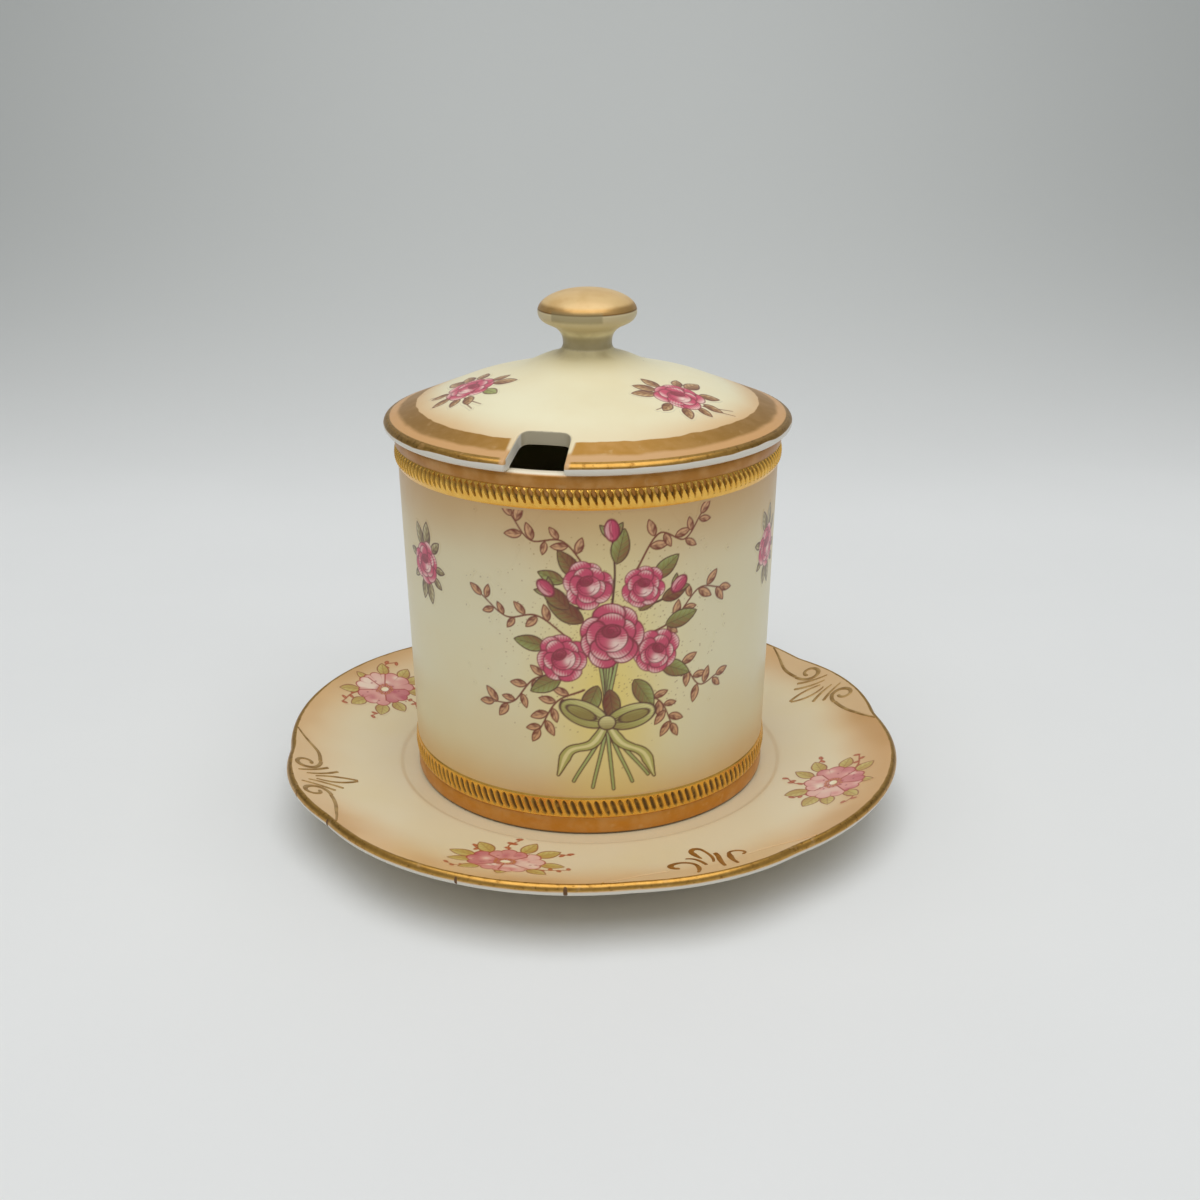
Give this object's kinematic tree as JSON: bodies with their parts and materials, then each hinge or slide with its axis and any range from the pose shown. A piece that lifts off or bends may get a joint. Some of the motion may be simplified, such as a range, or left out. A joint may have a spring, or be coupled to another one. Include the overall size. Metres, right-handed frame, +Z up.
{
  "type": "jam pot",
  "caption": "Straight-sided glazed jam pot with a domed, knobbed lid notched for a spoon, standing on a lobed underplate.",
  "frame": {"origin": "middle of the underplate's foot ring, on the table", "axes": "+Z up along the axis of the pot, -Y towards the front, where the pot's main decoration is, +X to the right seen from the front"},
  "size_m": [0.1498, 0.1498, 0.1241],
  "materials": {
    "glaze": "ivory glaze with a satin gloss, peach blush at the edges, gilded bands and enamelled roses"
  },
  "bodies": {
    "underplate": {"underplate": "glaze"},
    "pot": {"pot": "glaze"},
    "lid": {"lid": "glaze"}
  },
  "joints": [
    {"name": "pot_lift", "type": "slide", "parent": "underplate", "child": "pot", "axis": [0, 0, 1], "range_m": [0, 0.12]},
    {"name": "lid_lift", "type": "slide", "parent": "pot", "child": "lid", "axis": [0, 0, 1], "range_m": [0, 0.1]}
  ]
}
